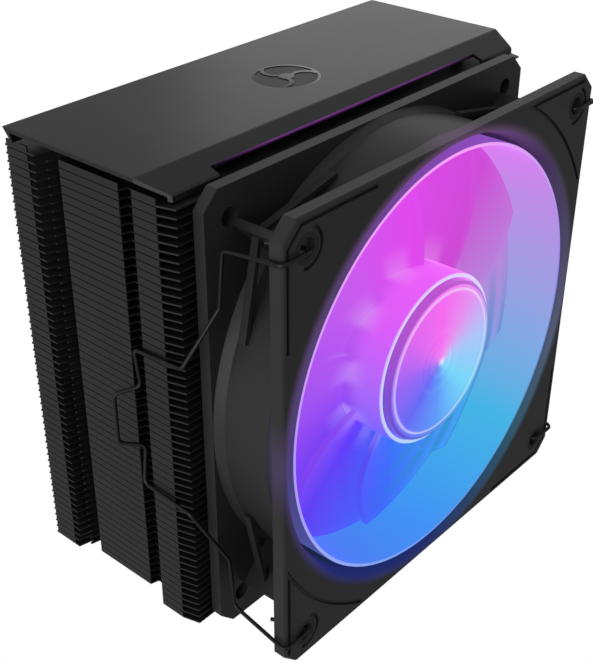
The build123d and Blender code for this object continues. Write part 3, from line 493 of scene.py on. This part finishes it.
def buildBlades():
    points, faces = [], []
    across, along = 18, 12
    rootRadius = impeller["hubRadius"] - 0.6  # sunk into the barrel
    tipRadius = impeller["ringRadius"] - impeller["ringWall"] * 0.5
    rootFront, rootRear = impeller["rootDepths"]
    tipFront, tipRear = impeller["tipDepths"]
    for number in range(impeller["blades"]):
        start = len(points)
        first = 2 * math.pi * number / impeller["blades"]
        for i in range(along + 1):
            v = i / along
            radius = rootRadius + v * (tipRadius - rootRadius)
            front = rootFront + v * (tipFront - rootFront)
            rear = rootRear + v * (tipRear - rootRear)
            for j in range(across + 1):
                u = j / across
                sweep = impeller["bladeSpan"] * u + impeller["bladeLean"] * v * v
                angle = first + math.radians(sweep)
                depth = front + (rear - front) * u + 1.2 * math.sin(math.pi * u)
                points.append(fanAxis + Vector((radius * math.cos(angle), depth,
                                                radius * math.sin(angle))) * mm)
        row = across + 1
        for i in range(along):
            for j in range(across):
                a = start + i * row + j
                faces.append((a, a + 1, a + row + 1, a + row))
    blades = meshObject("impellerBlades", points, faces, lit["blades"])
    smooth(blades, 60)
    solid = blades.modifiers.new("thickness", "SOLIDIFY")
    solid.thickness = impeller["bladeWall"] * mm
    solid.offset = 0
    return blades


ringInner = impeller["ringRadius"] - impeller["ringWall"]
ringProfile = roundedRing(impeller["ringRadius"], ringInner, impeller["ringFront"],
                          impeller["ringRear"], 0.5)
ring = turned("impellerRing", ringProfile, lit["ringInside"], 240)
ring.data.materials.append(lit["ringOutside"])
ring.data.materials.append(lit["rim"])
for face in ring.data.polygons:
    offset = (face.center - fanAxis) / mm
    radius = math.hypot(offset.x, offset.z)
    if offset.y < impeller["ringFront"] + impeller["rimDepth"]:
        face.material_index = 2
    elif radius > impeller["ringRadius"] - 0.1:
        face.material_index = 1
hubInner = impeller["hubRadius"] - impeller["hubWall"]
barrelProfile = roundedRing(impeller["hubRadius"], hubInner, impeller["hubFront"],
                            impeller["hubRear"], 0.6)
barrel = turned("impellerHub", barrelProfile, lit["barrel"])
blades = buildBlades()
for piece in (ring, barrel, blades):
    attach(piece, "rotor")
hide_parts("impeller")

# hub face: a stepped rim, a shallow dish with rings and a centre bump
hubFace = dict(rimRadius=21.3, rear=3.4)
capRear, rimRadius = hubFace["rear"], hubFace["rimRadius"]
capProfile = [(capRear, 0.001), (capRear, rimRadius), (1.3, rimRadius),
              (0.9, 20.9), (0.8, 20.4), (1.15, 20.1), (1.15, 19.8), (0.75, 19.5), (0.7, 18.9),
              (0.9, 18.5), (1.35, 18.2), (1.3, 14.0), (1.15, 9.5), (1.35, 8.6), (1.1, 7.6),
              (1.05, 5.6), (1.3, 4.9), (0.95, 4.0), (0.85, 2.6), (1.0, 2.0), (0.75, 1.3),
              (0.7, 0.001)]
face = turned("hubFace", capProfile, lit["face"])
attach(face, "rotor")
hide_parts("hub_cap")
print("impeller built")

# floor, light and camera
# matt white paint, evenly lit, so it shows no shadow
floorMaterial, _, floorShader = newMaterial("paintedStudioFloor")
floorShader.inputs["Base Color"].default_value = colour("000000")
floorShader.inputs["Specular IOR Level"].default_value = 0.0
floorShader.inputs["Roughness"].default_value = 1.0
floorShader.inputs["Emission Color"].default_value = colour("ffffff")
floorShader.inputs["Emission Strength"].default_value = 1.0
floorSize = 6.0
floor = meshObject("floor", [(-floorSize, -floorSize, 0), (floorSize, -floorSize, 0),
                             (floorSize, floorSize, 0), (-floorSize, floorSize, 0)],
                   [(0, 1, 2, 3)], floorMaterial)
floor.location.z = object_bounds()[0].z - 0.0002
floor.visible_diffuse = False
floor.visible_glossy = False

world = bpy.data.worlds.new("studio")
scene.world = world
world.use_nodes = True
sky = world.node_tree
place = addNode(sky, "TexCoord")
axes = addNode(sky, "SeparateXYZ", {0: place.outputs["Generated"]})
height = addNode(sky, "MapRange", {"Value": axes.outputs["Z"], "From Min": -0.6, "From Max": 0.9,
                                   "To Min": 0.22, "To Max": 0.42},
                 interpolation_type="SMOOTHSTEP")
leftward = addNode(sky, "MapRange", {"Value": axes.outputs["X"], "From Min": 0.0, "From Max": -1.0,
                                     "To Max": 0.35}, interpolation_type="SMOOTHSTEP")
total = addNode(sky, "Math", {0: height.outputs["Result"], 1: leftward.outputs["Result"]},
                operation="ADD")
sky.links.new(total.outputs[0], sky.nodes["Background"].inputs["Strength"])
sky.nodes["Background"].inputs["Color"].default_value = colour("ffffff")

# each light: where it stands, its size and power, all soft and neutral
softLights = {
    "right rear": dict(place=(0.90, 0.62, 0.48), size=0.5, power=0.45),
    "low left": dict(place=(-1.1, -0.3, 0.12), size=0.9, power=5.0),
}
aim = Vector((0, -0.01, 0.08))
for name, light in softLights.items():
    lamp = bpy.data.lights.new(name, "AREA")
    lamp.size = light["size"]
    lamp.energy = light["power"]
    obj = bpy.data.objects.new(name, lamp)
    obj.location = light["place"]
    obj.rotation_euler = (aim - obj.location).to_track_quat("-Z", "Y").to_euler()
    scene.collection.objects.link(obj)

camera = dict(place=(-212.24, -189.22, 252.84), azimuth=-48.79, elevation=31.25, lens=64.63)
lens = bpy.data.cameras.new("camera")
lens.lens = camera["lens"]
lens.sensor_width = 36.0
view = bpy.data.objects.new("camera", lens)
view.location = Vector(camera["place"]) * mm
view.rotation_euler = (math.radians(90 - camera["elevation"]), 0, math.radians(camera["azimuth"]))
scene.collection.objects.link(view)
scene.camera = view
print("stage set")
